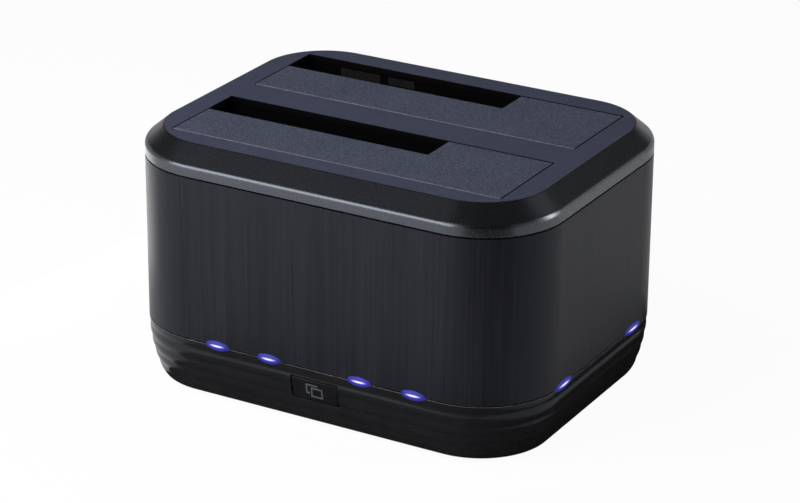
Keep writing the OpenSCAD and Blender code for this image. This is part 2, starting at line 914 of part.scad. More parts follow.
// Rocker, pivoting about the height of the frame, drawn tipped to its off side
module power_switch_rocker() {
  rocker_h = switch_h - 2 * (frame_edge + frame_wall + rocker_play);
  axle_h = switch_h - 2 * (frame_edge + frame_wall) + 2 * (axle_l - rocker_play);
  color("#1a1a1a") at_port(-1) rotate([0, 0, rocker_tilt]) {
    linear_extrude(rocker_h, center = true) intersection() {
      circle(rocker_r);
      polygon([
        [-switch_w, -rocker_slope], [0, rocker_crown], [switch_w, -rocker_slope],
        [switch_w, -rocker_under], [-switch_w, -rocker_under]
      ]);
    }
    cylinder(r = axle_r, h = axle_h, center = true);
  }
}

// Feet

module foot(x, y) {
  color("#303030") translate([x * foot_x, y * foot_y, 0]) rotate_extrude() difference() {
    square([foot_r - foot_play, foot_proud + foot_seat]);
    polygon([
      [foot_r - foot_play - foot_edge, -over], [foot_r + over, -over],
      [foot_r + over, foot_edge + foot_play + over], [foot_r - foot_play - foot_edge, 0]
    ]);
  }
}

top_cover();
outer_sleeve();
base_housing();
door(0);  // front_door
door(1);  // rear_door
hinge_pin(0);  // front_hinge_pin
hinge_pin(1);  // rear_hinge_pin
door_spring(0);  // front_door_spring
door_spring(1);  // rear_door_spring
drive_guide(0);  // front_drive_guide
drive_guide(1);  // rear_drive_guide
main_board();
sata_socket(0);  // front_sata_socket
sata_socket(1);  // rear_sata_socket
sata_contacts(0);  // front_sata_contacts
sata_contacts(1);  // rear_sata_contacts
usb_port_shell();
usb_port_tongue();
power_jack_body();
power_jack_pin();
power_switch_frame();
power_switch_rocker();
clone_button();
clone_switch_body();
clone_switch_plunger();
bridge_chip();
board_capacitors();
housing_screws();
foot(-1, -1);  // front_left_foot
foot(1, -1);  // front_right_foot
foot(-1, 1);  // rear_left_foot
foot(1, 1);  // rear_right_foot
for (lamp = [1:4]) {
  x = front_lamps[lamp - 1];
  at_front_lamp(x) lens_body(lens_w);
  at_front_lamp(x) led_chip();
}
for (lamp = [1:2]) {
  at_side_lamp(lamp - 1) lens_body(side_lens_w);
  at_side_lamp(lamp - 1) led_chip();
}
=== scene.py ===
"""Looks of a two-bay hard drive docking station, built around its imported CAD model."""
import math

import bmesh
import bpy
from mathutils import Matrix, Quaternion, Vector

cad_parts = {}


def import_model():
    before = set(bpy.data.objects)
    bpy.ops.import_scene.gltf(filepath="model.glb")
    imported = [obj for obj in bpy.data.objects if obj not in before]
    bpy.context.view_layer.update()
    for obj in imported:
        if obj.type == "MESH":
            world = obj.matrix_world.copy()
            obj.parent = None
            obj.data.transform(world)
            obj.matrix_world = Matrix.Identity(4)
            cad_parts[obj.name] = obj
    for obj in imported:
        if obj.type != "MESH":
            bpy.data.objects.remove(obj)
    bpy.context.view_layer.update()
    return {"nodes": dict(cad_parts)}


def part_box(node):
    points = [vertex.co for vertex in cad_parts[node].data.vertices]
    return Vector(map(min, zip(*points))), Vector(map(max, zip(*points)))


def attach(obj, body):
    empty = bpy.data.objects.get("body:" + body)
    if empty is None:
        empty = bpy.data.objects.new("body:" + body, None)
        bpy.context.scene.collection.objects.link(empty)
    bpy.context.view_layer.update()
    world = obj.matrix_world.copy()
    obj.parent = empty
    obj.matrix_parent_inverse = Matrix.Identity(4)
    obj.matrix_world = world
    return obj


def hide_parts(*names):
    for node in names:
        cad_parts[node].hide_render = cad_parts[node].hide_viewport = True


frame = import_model()

MM = 0.001
CORNER_R = 24.4 * MM
CHAMFER_W = 5.3 * MM
RIM_DROP = 8 * MM
SEAM_GAP = 0.4 * MM
BASE_DRAW_IN = 3.5 * MM
RIB_DEPTH = 0.3 * MM
GUIDE_T = 1.5 * MM
PAD_T = 0.25 * MM
NEAR = 0.02 * MM

# Widths of rounded edges
SLOT_EDGE = 0.12 * MM
TOP_EDGE = 0.22 * MM
RIM_EDGE = 0.15 * MM
SLEEVE_EDGE = 0.14 * MM
BASE_EDGE = 0.15 * MM
DOOR_FRONT_EDGE = 0.16 * MM
DOOR_EDGE = 0.1 * MM
BUTTON_EDGE = 0.45 * MM
ROCKER_EDGE = 0.15 * MM

# Places that the CAD model gives
body_low, body_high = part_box("outer_sleeve")
z_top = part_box("top_cover")[1].z
z_rim = z_top - RIM_DROP
z_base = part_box("base_housing")[0].z
z_base_top = body_low.z - SEAM_GAP
base_height = z_base_top - z_base
arc_r = (base_height ** 2 + BASE_DRAW_IN ** 2) / (2 * BASE_DRAW_IN)


def inset(point):
    """How far a point lies inside the body's outline, seen from above."""
    across = Vector((abs(point.x) - body_high.x + CORNER_R, abs(point.y) - body_high.y + CORNER_R))
    beyond = Vector((max(across.x, 0), max(across.y, 0)))
    return CORNER_R - beyond.length - min(max(across), 0)


def arc_inset(z):
    """How far the base's outer arc is drawn in at a height."""
    drop = min(max(z_base_top - z, 0), base_height)
    return arc_r - math.sqrt(arc_r ** 2 - drop ** 2)


class Finish:
    """A procedural material: a Principled shader and the nodes that feed it."""

    def __init__(self, name, **sockets):
        self.material = bpy.data.materials.new(name)
        self.material.use_nodes = True
        self.tree = self.material.node_tree
        self.shader = self.tree.nodes["Principled BSDF"]
        self.place = self.add("ShaderNodeTexCoord").outputs["Object"]
        for socket, value in sockets.items():
            self.put(self.shader, socket.replace("_", " "), value)

    def add(self, kind, inputs=None, **settings):
        made = self.tree.nodes.new(kind)
        for setting, value in settings.items():
            setattr(made, setting, value)
        for socket, value in (inputs or {}).items():
            self.put(made, socket, value)
        return made

    def put(self, made, socket, value):
        """Sets a socket, or links it where the value is another node's output."""
        if isinstance(value, bpy.types.NodeSocket):
            self.tree.links.new(value, made.inputs[socket])
        else:
            made.inputs[socket].default_value = value

    def noise(self, grain, detail=2.0):
        """Noise with grains of a size in millimetres along each axis."""
        scale = [1 / (length * MM) for length in grain]
        place = self.add("ShaderNodeMapping", {"Vector": self.place, "Scale": scale})
        wanted = {"Vector": place.outputs["Vector"], "Scale": 1.0, "Detail": detail}
        return self.add("ShaderNodeTexNoise", wanted).outputs["Fac"]

    def between(self, value, low, high, reach=0.2):
        """A value within reach of a half, as noise gives it, spread from low to high."""
        spread = {
            "Value": value, "From Min": 0.5 - reach, "From Max": 0.5 + reach, "To Min": low, "To Max": high,
        }
        return self.add("ShaderNodeMapRange", spread).outputs["Result"]

    def tint(self, colour, value, dark, light):
        """A colour made darker and lighter by a value near a half."""
        level = self.between(value, dark, light)
        scaled = self.add("ShaderNodeVectorMath", {0: colour[:3], "Scale": level}, operation="SCALE")
        return scaled.outputs["Vector"]

    def bump(self, height, depth, below=None):
        """Relief of a depth in millimetres, laid over the relief below it."""
        wanted = {"Height": height, "Distance": depth * MM, "Strength": 1.0}
        if below is not None:
            wanted["Normal"] = below
        return self.add("ShaderNodeBump", wanted).outputs["Normal"]

    def feed(self, **sockets):
        """Links outputs to the shader's sockets."""
        for socket, value in sockets.items():
            self.put(self.shader, socket.replace("_", " "), value)
        return self.material


# Tint of what dark polished surfaces mirror
COOL = (0.8, 0.87, 1.0, 1.0)


def textured_plastic(name, colour, grain, depth, contrast, shine=0.2):
    """Moulded plastic with a fine eroded grain."""
    made = Finish(name, Specular_IOR_Level=shine, Specular_Tint=COOL)
    fine = made.noise([grain] * 3)
    broad = made.noise([9.0] * 3)
    mottled = made.tint(colour, broad, 0.95, 1.05)
    speckle = made.between(fine, 1 - contrast, 1 + contrast, 0.12)
    scaled = made.add("ShaderNodeVectorMath", {0: mottled, "Scale": speckle}, operation="SCALE")
    return made.feed(
        Base_Color=scaled.outputs["Vector"],
        Roughness=made.between(fine, 0.52, 0.64),
        Normal=made.bump(fine, depth),
    )


def gloss_plastic(name, colour, roughness, shine):
    """Polished plastic, very slightly uneven."""
    made = Finish(name, Specular_IOR_Level=shine, Specular_Tint=COOL)
    swell = made.noise([7.0] * 3)
    dust = made.noise([0.5] * 3)
    return made.feed(
        Base_Color=made.tint(colour, swell, 0.9, 1.1),
        Roughness=made.between(dust, roughness * 0.94, roughness * 1.06),
        Normal=made.bump(swell, 0.012),
    )


def brushed_sleeve(name, colour, shine):
    """Black metal brushed up and down, in streaks of mixed length."""
    made = Finish(name, Specular_IOR_Level=shine, Specular_Tint=COOL)
    hair = made.noise([0.22, 0.22, 30.0], 3.0)
    streak = made.noise([0.6, 0.6, 90.0], 2.0)
    band = made.noise([9.0, 9.0, 240.0], 1.0)
    colour = made.tint(colour, streak, 0.78, 1.25)
    for value, dark, light in ((hair, 0.7, 1.3), (band, 0.9, 1.1)):
        level = made.between(value, dark, light)
        scaled = made.add("ShaderNodeVectorMath", {0: colour, "Scale": level}, operation="SCALE")
        colour = scaled.outputs["Vector"]
    relief = made.bump(hair, 0.004)
    return made.feed(
        Base_Color=colour,
        Roughness=made.between(hair, 0.3, 0.46),
        Normal=made.bump(streak, 0.004, relief),
    )


def metal(name, colour, roughness, grain=(0.4, 0.4, 0.4)):
    """Plain metal with fine marks from its making."""
    made = Finish(name, Metallic=1.0)
    marks = made.noise(grain, 3.0)
    return made.feed(
        Base_Color=made.tint(colour, marks, 0.85, 1.1),
        Roughness=made.between(marks, roughness * 0.75, roughness * 1.25),
        Normal=made.bump(marks, 0.004),
    )


def rubber(name):
    made = Finish(name, Specular_IOR_Level=0.25)
    grain = made.noise([0.3] * 3, 4.0)
    return made.feed(
        Base_Color=made.tint((0.02, 0.02, 0.021), grain, 0.8, 1.2),
        Roughness=made.between(grain, 0.75, 0.9),
        Normal=made.bump(grain, 0.03),
    )


def circuit_board(name):
    """Green mask over copper, with plated dots."""
    made = Finish(name, Specular_IOR_Level=0.5)
    weave = made.noise([0.6, 3.0, 0.6])
    mask = made.tint((0.012, 0.09, 0.03), weave, 0.75, 1.2)
    place = made.add("ShaderNodeMapping", {"Vector": made.place, "Scale": [1 / (2.54 * MM)] * 3})
    cells = {"Vector": place.outputs["Vector"], "Scale": 1.0, "Randomness": 0.35}
    dots = made.add("ShaderNodeTexVoronoi", cells).outputs["Distance"]
    plated = made.add("ShaderNodeMath", {0: dots, 1: 0.16}, operation="LESS_THAN").outputs["Value"]
    colours = made.add("ShaderNodeMix", {0: plated, 6: mask, 7: (0.6, 0.45, 0.15, 1.0)}, data_type="RGBA")
    return made.feed(
        Base_Color=colours.outputs[2],
        Metallic=plated,
        Roughness=made.between(weave, 0.28, 0.4),
        Normal=made.bump(weave, 0.01),
    )


def lamp_lens(name, width, height):
    """Clear blue moulding, lit from behind: a white core that falls away to deep blue at the rim."""
    made = Finish(name, Base_Color=(0.01, 0.012, 0.12, 1.0), Roughness=0.3, Specular_IOR_Level=0.1)
    parts = made.add("ShaderNodeSeparateXYZ", {"Vector": made.place}).outputs

    def reach(wide, high):
        """Distance from the lens's middle, one at the edge of an ellipse."""
        flat = made.add("ShaderNodeCombineXYZ", {
            "X": made.add("ShaderNodeMath", {0: parts["X"], 1: wide}, operation="DIVIDE").outputs[0],
            "Y": made.add("ShaderNodeMath", {0: parts["Z"], 1: high}, operation="DIVIDE").outputs[0],
        })
        measured = made.add("ShaderNodeVectorMath", {0: flat.outputs["Vector"]}, operation="LENGTH")
        return measured.outputs["Value"]

    def ramp(value, start, end):
        spread = {"Value": value, "From Min": start, "From Max": end, "To Min": 1.0, "To Max": 0.0}
        return made.add("ShaderNodeMapRange", spread, interpolation_type="SMOOTHSTEP").outputs["Result"]

    core = ramp(reach(width * 0.3, height * 0.12), 0.25, 1.3)
    glow = ramp(reach(width * 0.5, height * 0.5), 0.3, 1.0)
    blue = made.add("ShaderNodeMix", {0: glow, 6: (0.016, 0.013, 0.13, 1.0), 7: (0.045, 0.038, 0.34, 1.0)},
                    data_type="RGBA")
    lit = made.add("ShaderNodeMix", {0: core, 6: blue.outputs[2], 7: (1.0, 1.0, 1.0, 1.0)}, data_type="RGBA")
    return made.feed(Emission_Color=lit.outputs[2], Emission_Strength=1.0)


def solid_of(node):
    """A CAD node as a bmesh, with its faces joined up and its flat faces made whole."""
    solid = bmesh.new()
    solid.from_mesh(frame["nodes"][node].data)
    bmesh.ops.remove_doubles(solid, verts=solid.verts[:], dist=0.002 * MM)
    bmesh.ops.dissolve_limit(
        solid, angle_limit=math.radians(0.4), verts=solid.verts[:], edges=solid.edges[:]
    )
    return solid


def middle(edge):
    return (edge.verts[0].co + edge.verts[1].co) / 2


def round_edges(solid, width, chosen=None, segments=3):
    """Rounds the sharp outward edges that chosen picks, or all of them, and gives back the rounded faces."""
    sharp = math.radians(28)
    edges = [
        edge for edge in solid.edges
        if edge.is_manifold and edge.calc_face_angle_signed(0) > sharp and (chosen is None or chosen(edge))
    ]
    rounded = bmesh.ops.bevel(
        solid, geom=edges, offset=width, offset_type="OFFSET", segments=segments, profile=0.5,
        affect="EDGES", clamp_overlap=True,
    )
    return rounded["faces"]


def shaded(mesh, angle):
    """Smooth shading that breaks at edges sharper than the angle."""
    for face in mesh.polygons:
        face.use_smooth = True
    mesh.set_sharp_from_angle(angle=math.radians(angle))


def piece(name, solid, body, slot, finishes, *nodes, angle=50):
    """Makes an object of a bmesh, which rides on a body and stands for CAD nodes."""
    mesh = bpy.data.meshes.new(name)
    solid.to_mesh(mesh)
    solid.free()
    for finish in finishes:
        mesh.materials.append(finish)
    shaded(mesh, angle)
    made = bpy.data.objects.new(name, mesh)
    bpy.context.scene.collection.objects.link(made)
    weighted = made.modifiers.new("even_normals", "WEIGHTED_NORMAL")
    weighted.keep_sharp = True
    weighted.weight = 90
    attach(made, body)
    if nodes:
        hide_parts(*nodes)
    return made


def keep(node, finish):
    """Gives a CAD node that stays a procedural finish."""
    made = frame["nodes"][node]
    made.data.materials.clear()
    made.data.materials.append(finish)


# Finishes
cover_slate = textured_plastic(
    "cover_slate", (0.049, 0.054, 0.086), grain=0.35, depth=0.02, contrast=0.28, shine=0.12,
)
cover_gloss = gloss_plastic("cover_gloss", (0.005, 0.0052, 0.006), roughness=0.28, shine=1.0)
# Near-black painted shade for the walls of the slots and the doors' sides in the gaps
gap_shade_black = textured_plastic(
    "gap_shade_black", (0.002, 0.002, 0.0022), grain=0.4, depth=0.01, contrast=0.1, shine=0.05,
)
door_slate = textured_plastic(
    "door_slate", (0.060, 0.068, 0.100), grain=0.35, depth=0.03, contrast=0.6, shine=0.14,
)
# Lighter, smoother slate on the doors' front edges: a painted highlight line
painted_door_edge_highlight = textured_plastic(
    "painted_door_edge_highlight", (0.14, 0.15, 0.18), grain=0.5, depth=0.01, contrast=0.3, shine=0.4,
)
sleeve_black = brushed_sleeve("sleeve_black", (0.0086, 0.0088, 0.012), shine=0.15)
# Light grey painted highlight on the broken edges along the seam between sleeve and base
painted_seam_highlight = gloss_plastic("painted_seam_highlight", (0.25, 0.25, 0.265), roughness=0.3, shine=0.4)
base_black = gloss_plastic("base_black", (0.0098, 0.01, 0.0108), roughness=0.24, shine=0.22)
# Shinier, and painted lighter than the base as a highlight on the broken rib edges
painted_rib_highlight = gloss_plastic("painted_rib_highlight", (0.035, 0.0355, 0.038), roughness=0.25, shine=0.6)
button_black = gloss_plastic("button_black", (0.0075, 0.0077, 0.0083), roughness=0.3, shine=0.08)
# The button's raised mark, painted lighter than the button as a highlight on its strips
mark_highlight_grey = gloss_plastic("mark_highlight_grey", (0.06, 0.061, 0.065), roughness=0.35, shine=0.4)
mark_white = textured_plastic("mark_white", (0.6, 0.6, 0.6), grain=0.2, depth=0.005, contrast=0.06)
# Lighter than the guide wall: painted light on the pads near the top of the rear bay
pad_painted_light = textured_plastic(
    "pad_painted_light", (0.013, 0.013, 0.0135), grain=0.3, depth=0.05, contrast=0.3, shine=0.05,
)
guide_black = textured_plastic(
    "guide_black", (0.003, 0.003, 0.0033), grain=0.5, depth=0.02, contrast=0.12, shine=0.05,
)
socket_black = textured_plastic("socket_black", (0.008, 0.008, 0.009), grain=0.3, depth=0.02, contrast=0.1)
port_black = textured_plastic("port_black", (0.009, 0.009, 0.01), grain=0.3, depth=0.02, contrast=0.1)
rocker_black = gloss_plastic("rocker_black", (0.008, 0.008, 0.009), roughness=0.28, shine=0.4)
switch_black = textured_plastic("switch_black", (0.012, 0.012, 0.013), grain=0.3, depth=0.02, contrast=0.1)
chip_black = textured_plastic("chip_black", (0.014, 0.014, 0.015), grain=0.2, depth=0.02, contrast=0.1)
plunger_ivory = textured_plastic("plunger_ivory", (0.7, 0.66, 0.55), grain=0.3, depth=0.01, contrast=0.05)
lamp_white = textured_plastic("lamp_white", (0.8, 0.8, 0.78), grain=0.3, depth=0.01, contrast=0.04)
port_blue = textured_plastic("port_blue", (0.02, 0.09, 0.42), grain=0.3, depth=0.01, contrast=0.06)
pin_steel = metal("pin_steel", (0.55, 0.55, 0.56), roughness=0.25, grain=(8.0, 0.3, 0.3))
spring_steel = metal("spring_steel", (0.5, 0.5, 0.51), roughness=0.3)
screw_steel = metal("screw_steel", (0.3, 0.3, 0.31), roughness=0.35)
port_metal = metal("port_metal", (0.66, 0.66, 0.67), roughness=0.28, grain=(0.3, 4.0, 0.3))
contact_gold = metal("contact_gold", (0.8, 0.58, 0.24), roughness=0.25)
can_aluminium = metal("can_aluminium", (0.7, 0.7, 0.71), roughness=0.3, grain=(0.3, 0.3, 4.0))
board_green = circuit_board("board_green")
foot_rubber = rubber("foot_rubber")


# Body

def top_cover():
    """Top cover: textured on top, polished on its sloping edge, ridge and rim, and painted near-black as
    shade on the walls of its slots.
    """
    solid = solid_of("top_cover")

    def top_edge(edge):
        return all(v.co.z > z_top - NEAR for v in edge.verts)

    def rim_edge(edge):
        return all(abs(v.co.z - z_rim) < NEAR and inset(v.co) < NEAR for v in edge.verts)

    def by_slot(point):
        return inset(point) > CHAMFER_W + 1 * MM

    round_edges(solid, SLOT_EDGE, lambda edge: top_edge(edge) and by_slot(middle(edge)), segments=2)
    round_edges(solid, TOP_EDGE, lambda edge: top_edge(edge) and not by_slot(middle(edge)))
    round_edges(solid, RIM_EDGE, rim_edge)
    for face in solid.faces:
        centre = face.calc_center_median()
        on_top = face.normal.z > 0.99 and centre.z > z_top - NEAR
        # The slot walls and their rounded edges take the painted shade
        face.material_index = 0 if on_top else 2 if by_slot(centre) else 1
    piece("cover", solid, "housing", "cover_slate", [cover_slate, cover_gloss, gap_shade_black], "top_cover")


def outer_sleeve():
    """Brushed sleeve, with a painted highlight where its lower edge is broken."""
    solid = solid_of("outer_sleeve")
    round_edges(solid, SLEEVE_EDGE, lambda edge: inset(middle(edge)) < 0.1 * MM)
    for face in solid.faces:
        low_edge = face.calc_center_median().z < body_low.z + SLEEVE_EDGE and -0.99 < face.normal.z < -0.05
        # Index 1 is the painted highlight on the broken lower edge
        face.material_index = 1 if low_edge else 0
    piece("sleeve", solid, "housing", "sleeve_black", [sleeve_black, painted_seam_highlight], "outer_sleeve")


def base_housing():
    """Base with its outer edges broken and polished, and painted lighter as highlights on the broken edges
    and along the seam.
    """
    solid = solid_of("base_housing")

    def outside(vert):
        return vert.co.z < z_base_top + NEAR and inset(vert.co) < arc_inset(vert.co.z) + RIB_DEPTH + NEAR

    for face in round_edges(solid, BASE_EDGE, lambda edge: all(outside(vert) for vert in edge.verts)):
        by_seam = face.calc_center_median().z > z_base_top - BASE_EDGE - NEAR
        # Index 1 is the painted highlight along the seam, index 2 the painted highlight on the broken rib
        # edges
        face.material_index = 1 if by_seam else 2
    piece("base", solid, "housing", "base_black", [base_black, painted_seam_highlight, painted_rib_highlight], "base_housing", angle=22)


def door(bay):
    """Door with fine grain on top, a front edge painted lighter as a highlight, and its other edges painted
    near-black as shade in the gaps.
    """
    solid = solid_of(bay + "_door")
    front = min(v.co.y for v in solid.verts if v.co.z > z_top - NEAR)

    def top_edge(edge):
        return all(v.co.z > z_top - NEAR for v in edge.verts)

    def front_edge(edge):
        return top_edge(edge) and all(v.co.y < front + NEAR for v in edge.verts)

    round_edges(solid, DOOR_FRONT_EDGE, front_edge)
    round_edges(solid, DOOR_EDGE, top_edge, segments=2)
    for face in solid.faces:
        centre = face.calc_center_median()
        at_front = face.normal.y < -0.2 and centre.y < front + 0.2 * MM and centre.z > z_top - 1.5 * MM
        at_side = max(abs(face.normal.x), face.normal.y) > 0.3
        # Index 1 is the painted highlight on the front edge, index 2 the painted shade on the sides and back
        # in the gaps
        face.material_index = 1 if at_front else 2 if at_side else 0
    finishes = [door_slate, painted_door_edge_highlight, gap_shade_black]
    piece(bay + "_door_panel", solid, bay + "_door", "door_slate", finishes, bay + "_door")


# Raised marks, in millimetres: width of their lines, how far they stand proud, and how deep they are rooted
MARK_LINE = 0.5
MARK_PROUD = 0.14
ROCKER_MARK_PROUD = 0.05
MARK_ROOT = 0.1


def raised(name, face, body, slot, finish, outer, inner=(), proud=MARK_PROUD):
    """A shape that stands proud of a face, from its outline and the outline of its hole.

    The face is given as its centre and the direction out of it.
    """
    centre, out = face
    across = Vector((0, 0, 1)).cross(out).normalized()
    up = out.cross(across)
    mark = bmesh.new()

    def loop(points, height):
        return [mark.verts.new(centre + (across * x + up * z + out * height) * MM) for x, z in points]

    def wall(first, second):
        for i in range(len(first)):
            j = (i + 1) % len(first)
            mark.faces.new((first[i], first[j], second[j], second[i]))

    low_outer, high_outer = loop(outer, -MARK_ROOT), loop(outer, proud)
    wall(low_outer, high_outer)
    if inner:
        low_inner, high_inner = loop(inner, -MARK_ROOT), loop(inner, proud)
        wall(low_inner, high_inner)
        wall(high_inner, high_outer)
        wall(low_inner, low_outer)
    else:
        mark.faces.new(high_outer)
        mark.faces.new(low_outer)
    bmesh.ops.recalc_face_normals(mark, faces=mark.faces[:])
    round_edges(mark, proud / 3 * MM, segments=2)
    piece(name, mark, body, slot, [finish])


def rectangle(left, right, low, high):
    return [(left, low), (right, low), (right, high), (left, high)]


def circle(radius, points=32):
    turns = [2 * math.pi * i / points for i in range(points)]
    return [(radius * math.cos(turn), radius * math.sin(turn)) for turn in turns]


def button():
    """Button with rounded edges, and a mark of two overlapping sheets that stands proud of its face, painted
    lighter grey as a highlight.
    """
    solid = solid_of("clone_button")
    face = max((face for face in solid.faces if face.normal.y < -0.9), key=lambda face: face.calc_area())
    front = (face.calc_center_median(), face.normal.copy())
    face_y = max(v.co.y for v in face.verts) + NEAR
    round_edges(solid, BUTTON_EDGE, lambda edge: all(v.co.y < face_y for v in edge.verts))
    piece("button", solid, "clone_button", "button_black", [button_black], "clone_button")

    def mark(name, outer, inner=()):
        raised(name, front, "clone_button", "button_black", mark_highlight_grey, outer, inner)

    line = MARK_LINE
    sheet = rectangle(-1.1, 2.7, -2.0, 1.1)
    sheet_hole = rectangle(-1.1 + line, 2.7 - line, -2.0 + line, 1.1 - line)
    mark("button_mark_front", sheet, sheet_hole)
    mark("button_mark_back", [
        (-1.45, -1.1), (-2.7, -1.1), (-2.7, 2.0), (1.1, 2.0),
        (1.1, 2.0 - line), (-2.7 + line, 2.0 - line), (-2.7 + line, -1.1 + line), (-1.45, -1.1 + line),
    ])


# Small parts

def softened(node, finish, slot, width, body="housing"):
    """A CAD node with its sharp edges broken by a width in millimetres."""
    solid = solid_of(node)
    round_edges(solid, width * MM)
    piece(node + "_form", solid, body, slot, [finish], node, angle=40)


def rocker():
    """Rocker of the power switch, with a bar on one half and a ring on the other."""
    node = "power_switch_rocker"
    solid = solid_of(node)
    outward = [face for face in solid.faces if face.normal.y > 0.8]
    largest = sorted(outward, key=lambda face: face.calc_area())[-2:]
    largest.sort(key=lambda face: face.calc_center_median().x)
    halves = [(face.calc_center_median(), face.normal.copy()) for face in largest]
    round_edges(solid, ROCKER_EDGE)
    piece("rocker_form", solid, "power_rocker", "rocker_black", [rocker_black], node, angle=40)

    def mark(name, half, outer, inner=()):
        raised(name, half, "power_rocker", "rocker_black", mark_white, outer, inner, proud=ROCKER_MARK_PROUD)

    mark("rocker_mark_on", halves[0], rectangle(-0.2, 0.2, -1.1, 1.1))
    mark("rocker_mark_off", halves[1], circle(1.1), circle(0.75))


def block(solid, low, high):
    """Adds a box between two corners to a bmesh."""
    outline = ((low[0], low[1]), (high[0], low[1]), (high[0], high[1]), (low[0], high[1]))
    bottom, top = [[solid.verts.new((x, y, z)) for x, y in outline] for z in (low[2], high[2])]
    solid.faces.new(list(reversed(bottom)))
    solid.faces.new(top)
    for i in range(4):
        j = (i + 1) % 4
        solid.faces.new((bottom[i], bottom[j], top[j], top[i]))


def chip():
    """Bridge chip with a row of legs along each side."""
    softened("bridge_chip", chip_black, "chip_black", 0.15)
    low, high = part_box("bridge_chip")
    centre = (low + high) / 2
    half = (high.x - low.x) / 2
    legs_a_side = 12
    pitch = 0.65 * MM
    leg_w = 0.26 * MM
    leg_l = 0.9 * MM
    leg_t = 0.2 * MM
    solid = bmesh.new()

    def leg(x_span, y_span):
        block(solid, (x_span[0], y_span[0], low.z), (x_span[1], y_span[1], low.z + leg_t))

    for side in (-1, 1):
        reach = sorted((side * (half - leg_t), side * (half + leg_l)))
        for i in range(legs_a_side):
            along = (i - (legs_a_side - 1) / 2) * pitch
            width = (along - leg_w / 2, along + leg_w / 2)
            leg([centre.x + end for end in width], [centre.y + end for end in reach])
            leg([centre.x + end for end in reach], [centre.y + end for end in width])
    piece("bridge_chip_legs", solid, "housing", "chip_black", [pin_steel])


def turned(solid, centre, profile, segments=40):
    """Adds a turned shape to a bmesh, from points of radius and height that start and end on the axis."""
    rings = []
    for radius, height in profile[1:-1]:
        points = [Vector((x, y, height)) for x, y in circle(radius, segments)]
        rings.append([solid.verts.new(centre + point * MM) for point in points])
    for first, second in zip(rings, rings[1:]):
        for i in range(segments):
            j = (i + 1) % segments
            solid.faces.new((first[i], first[j], second[j], second[i]))
    solid.faces.new(list(reversed(rings[0])))
    solid.faces.new(rings[-1])


def capacitors():
    """Two cans with a rolled groove and a rounded top."""
    low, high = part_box("board_capacitors")
    radius = (high.x - low.x) / 2
    r = radius / MM
    h = (high.z - low.z) / MM
    profile = [
        (0, 0), (r - 0.15, 0), (r, 0.15), (r, 0.9), (r - 0.25, 1.05), (r - 0.25, 1.2), (r, 1.4),
        (r, h - 0.4), (r - 0.12, h - 0.12), (r - 0.4, h), (0, h),
    ]
    solid = bmesh.new()
    for y in (low.y + radius, high.y - radius):
        turned(solid, Vector((low.x + radius, y, low.z)), profile)
    name = "board_capacitors"
    piece(name + "_form", solid, "housing", "can_aluminium", [can_aluminium], name, angle=30)


def bay_pads():
    """Two thin pads near the top of the rear bay's back wall, coloured lighter than the wall as painted light
    falling into the bay.
    """
    wall_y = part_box("rear_drive_guide")[1].y - GUIDE_T
    pads = (("left", -41.0, -27.6, 69.4, 72.6), ("right", -24.8, -16.0, 70.4, 72.6))
    for name, left, right, low, high in pads:
        solid = bmesh.new()
        block(solid, (left * MM, wall_y - PAD_T, low * MM), (right * MM, wall_y + PAD_T, high * MM))
        round_edges(solid, PAD_T / 2)
        piece(f"rear_bay_pad_{name}", solid, "housing", "guide_black", [pad_painted_light])


# Lamps

LENS_DOME = 0.3 * MM
LENS_RINGS = 7
LENS_ARC_POINTS = 14
LENS_END_R = 0.8 * MM


def lens_outline(width, height):
    """Points around a lens: two flat arcs that run into a small arc at each end."""
    half = height / 2
    reach = width / 2 - LENS_END_R
    flank_r = (reach ** 2 + half ** 2 - LENS_END_R ** 2) / (2 * (half - LENS_END_R))
    lean = math.asin(reach / (flank_r - LENS_END_R))
    points = []
    for centre, radius, start, end in (
        ((0, half - flank_r), flank_r, -lean, lean),
        ((reach, 0), LENS_END_R, lean, math.pi - lean),
        ((0, flank_r - half), flank_r, math.pi - lean, math.pi + lean),
        ((-reach, 0), LENS_END_R, math.pi + lean, 2 * math.pi - lean),
    ):
        for step in range(LENS_ARC_POINTS):
            angle = start + (end - start) * step / LENS_ARC_POINTS
            points.append((centre[0] + radius * math.sin(angle), centre[1] + radius * math.cos(angle)))
    return points


def lens_solid(width, height, depth):
    """A lens with a domed front, about the middle of its face, front towards -Y."""
    solid = bmesh.new()
    outline = lens_outline(width, height)

    def ring(scale, y):
        return [solid.verts.new((x * scale, y, z * scale)) for x, z in outline]

    rings = [ring(1.0, depth)]
    for step in range(LENS_RINGS):
        scale = math.cos(math.pi / 2 * step / LENS_RINGS)
        rings.append(ring(scale, -LENS_DOME * (1 - scale ** 2)))
    tip = solid.verts.new((0, -LENS_DOME, 0))
    for first, second in zip(rings, rings[1:]):
        for i in range(len(outline)):
            j = (i + 1) % len(outline)
            solid.faces.new((first[i], first[j], second[j], second[i]))
    for i in range(len(outline)):
        solid.faces.new((rings[-1][i], rings[-1][(i + 1) % len(outline)], tip))
    solid.faces.new(list(reversed(rings[0])))
    bmesh.ops.recalc_face_normals(solid, faces=solid.faces[:])
    return solid


def lens(node, finish):
    low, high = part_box(node)
    centre = (low + high) / 2
    on_side = high.x > body_high.x - NEAR
    width = high.y - low.y if on_side else high.x - low.x
    depth = high.x - low.x if on_side else high.y - low.y
    turn = Matrix.Rotation(math.radians(90), 4, "Z") if on_side else Matrix.Identity(4)
    face = Vector((high.x, centre.y, centre.z)) if on_side else Vector((centre.x, low.y, centre.z))
    made = piece(
        node.replace("led_lens", "lens"), lens_solid(width, high.z - low.z, depth), "housing", "lens_blue",
        [finish], node, angle=70,
    )
    made.matrix_world = Matrix.Translation(face) @ turn


# Staging

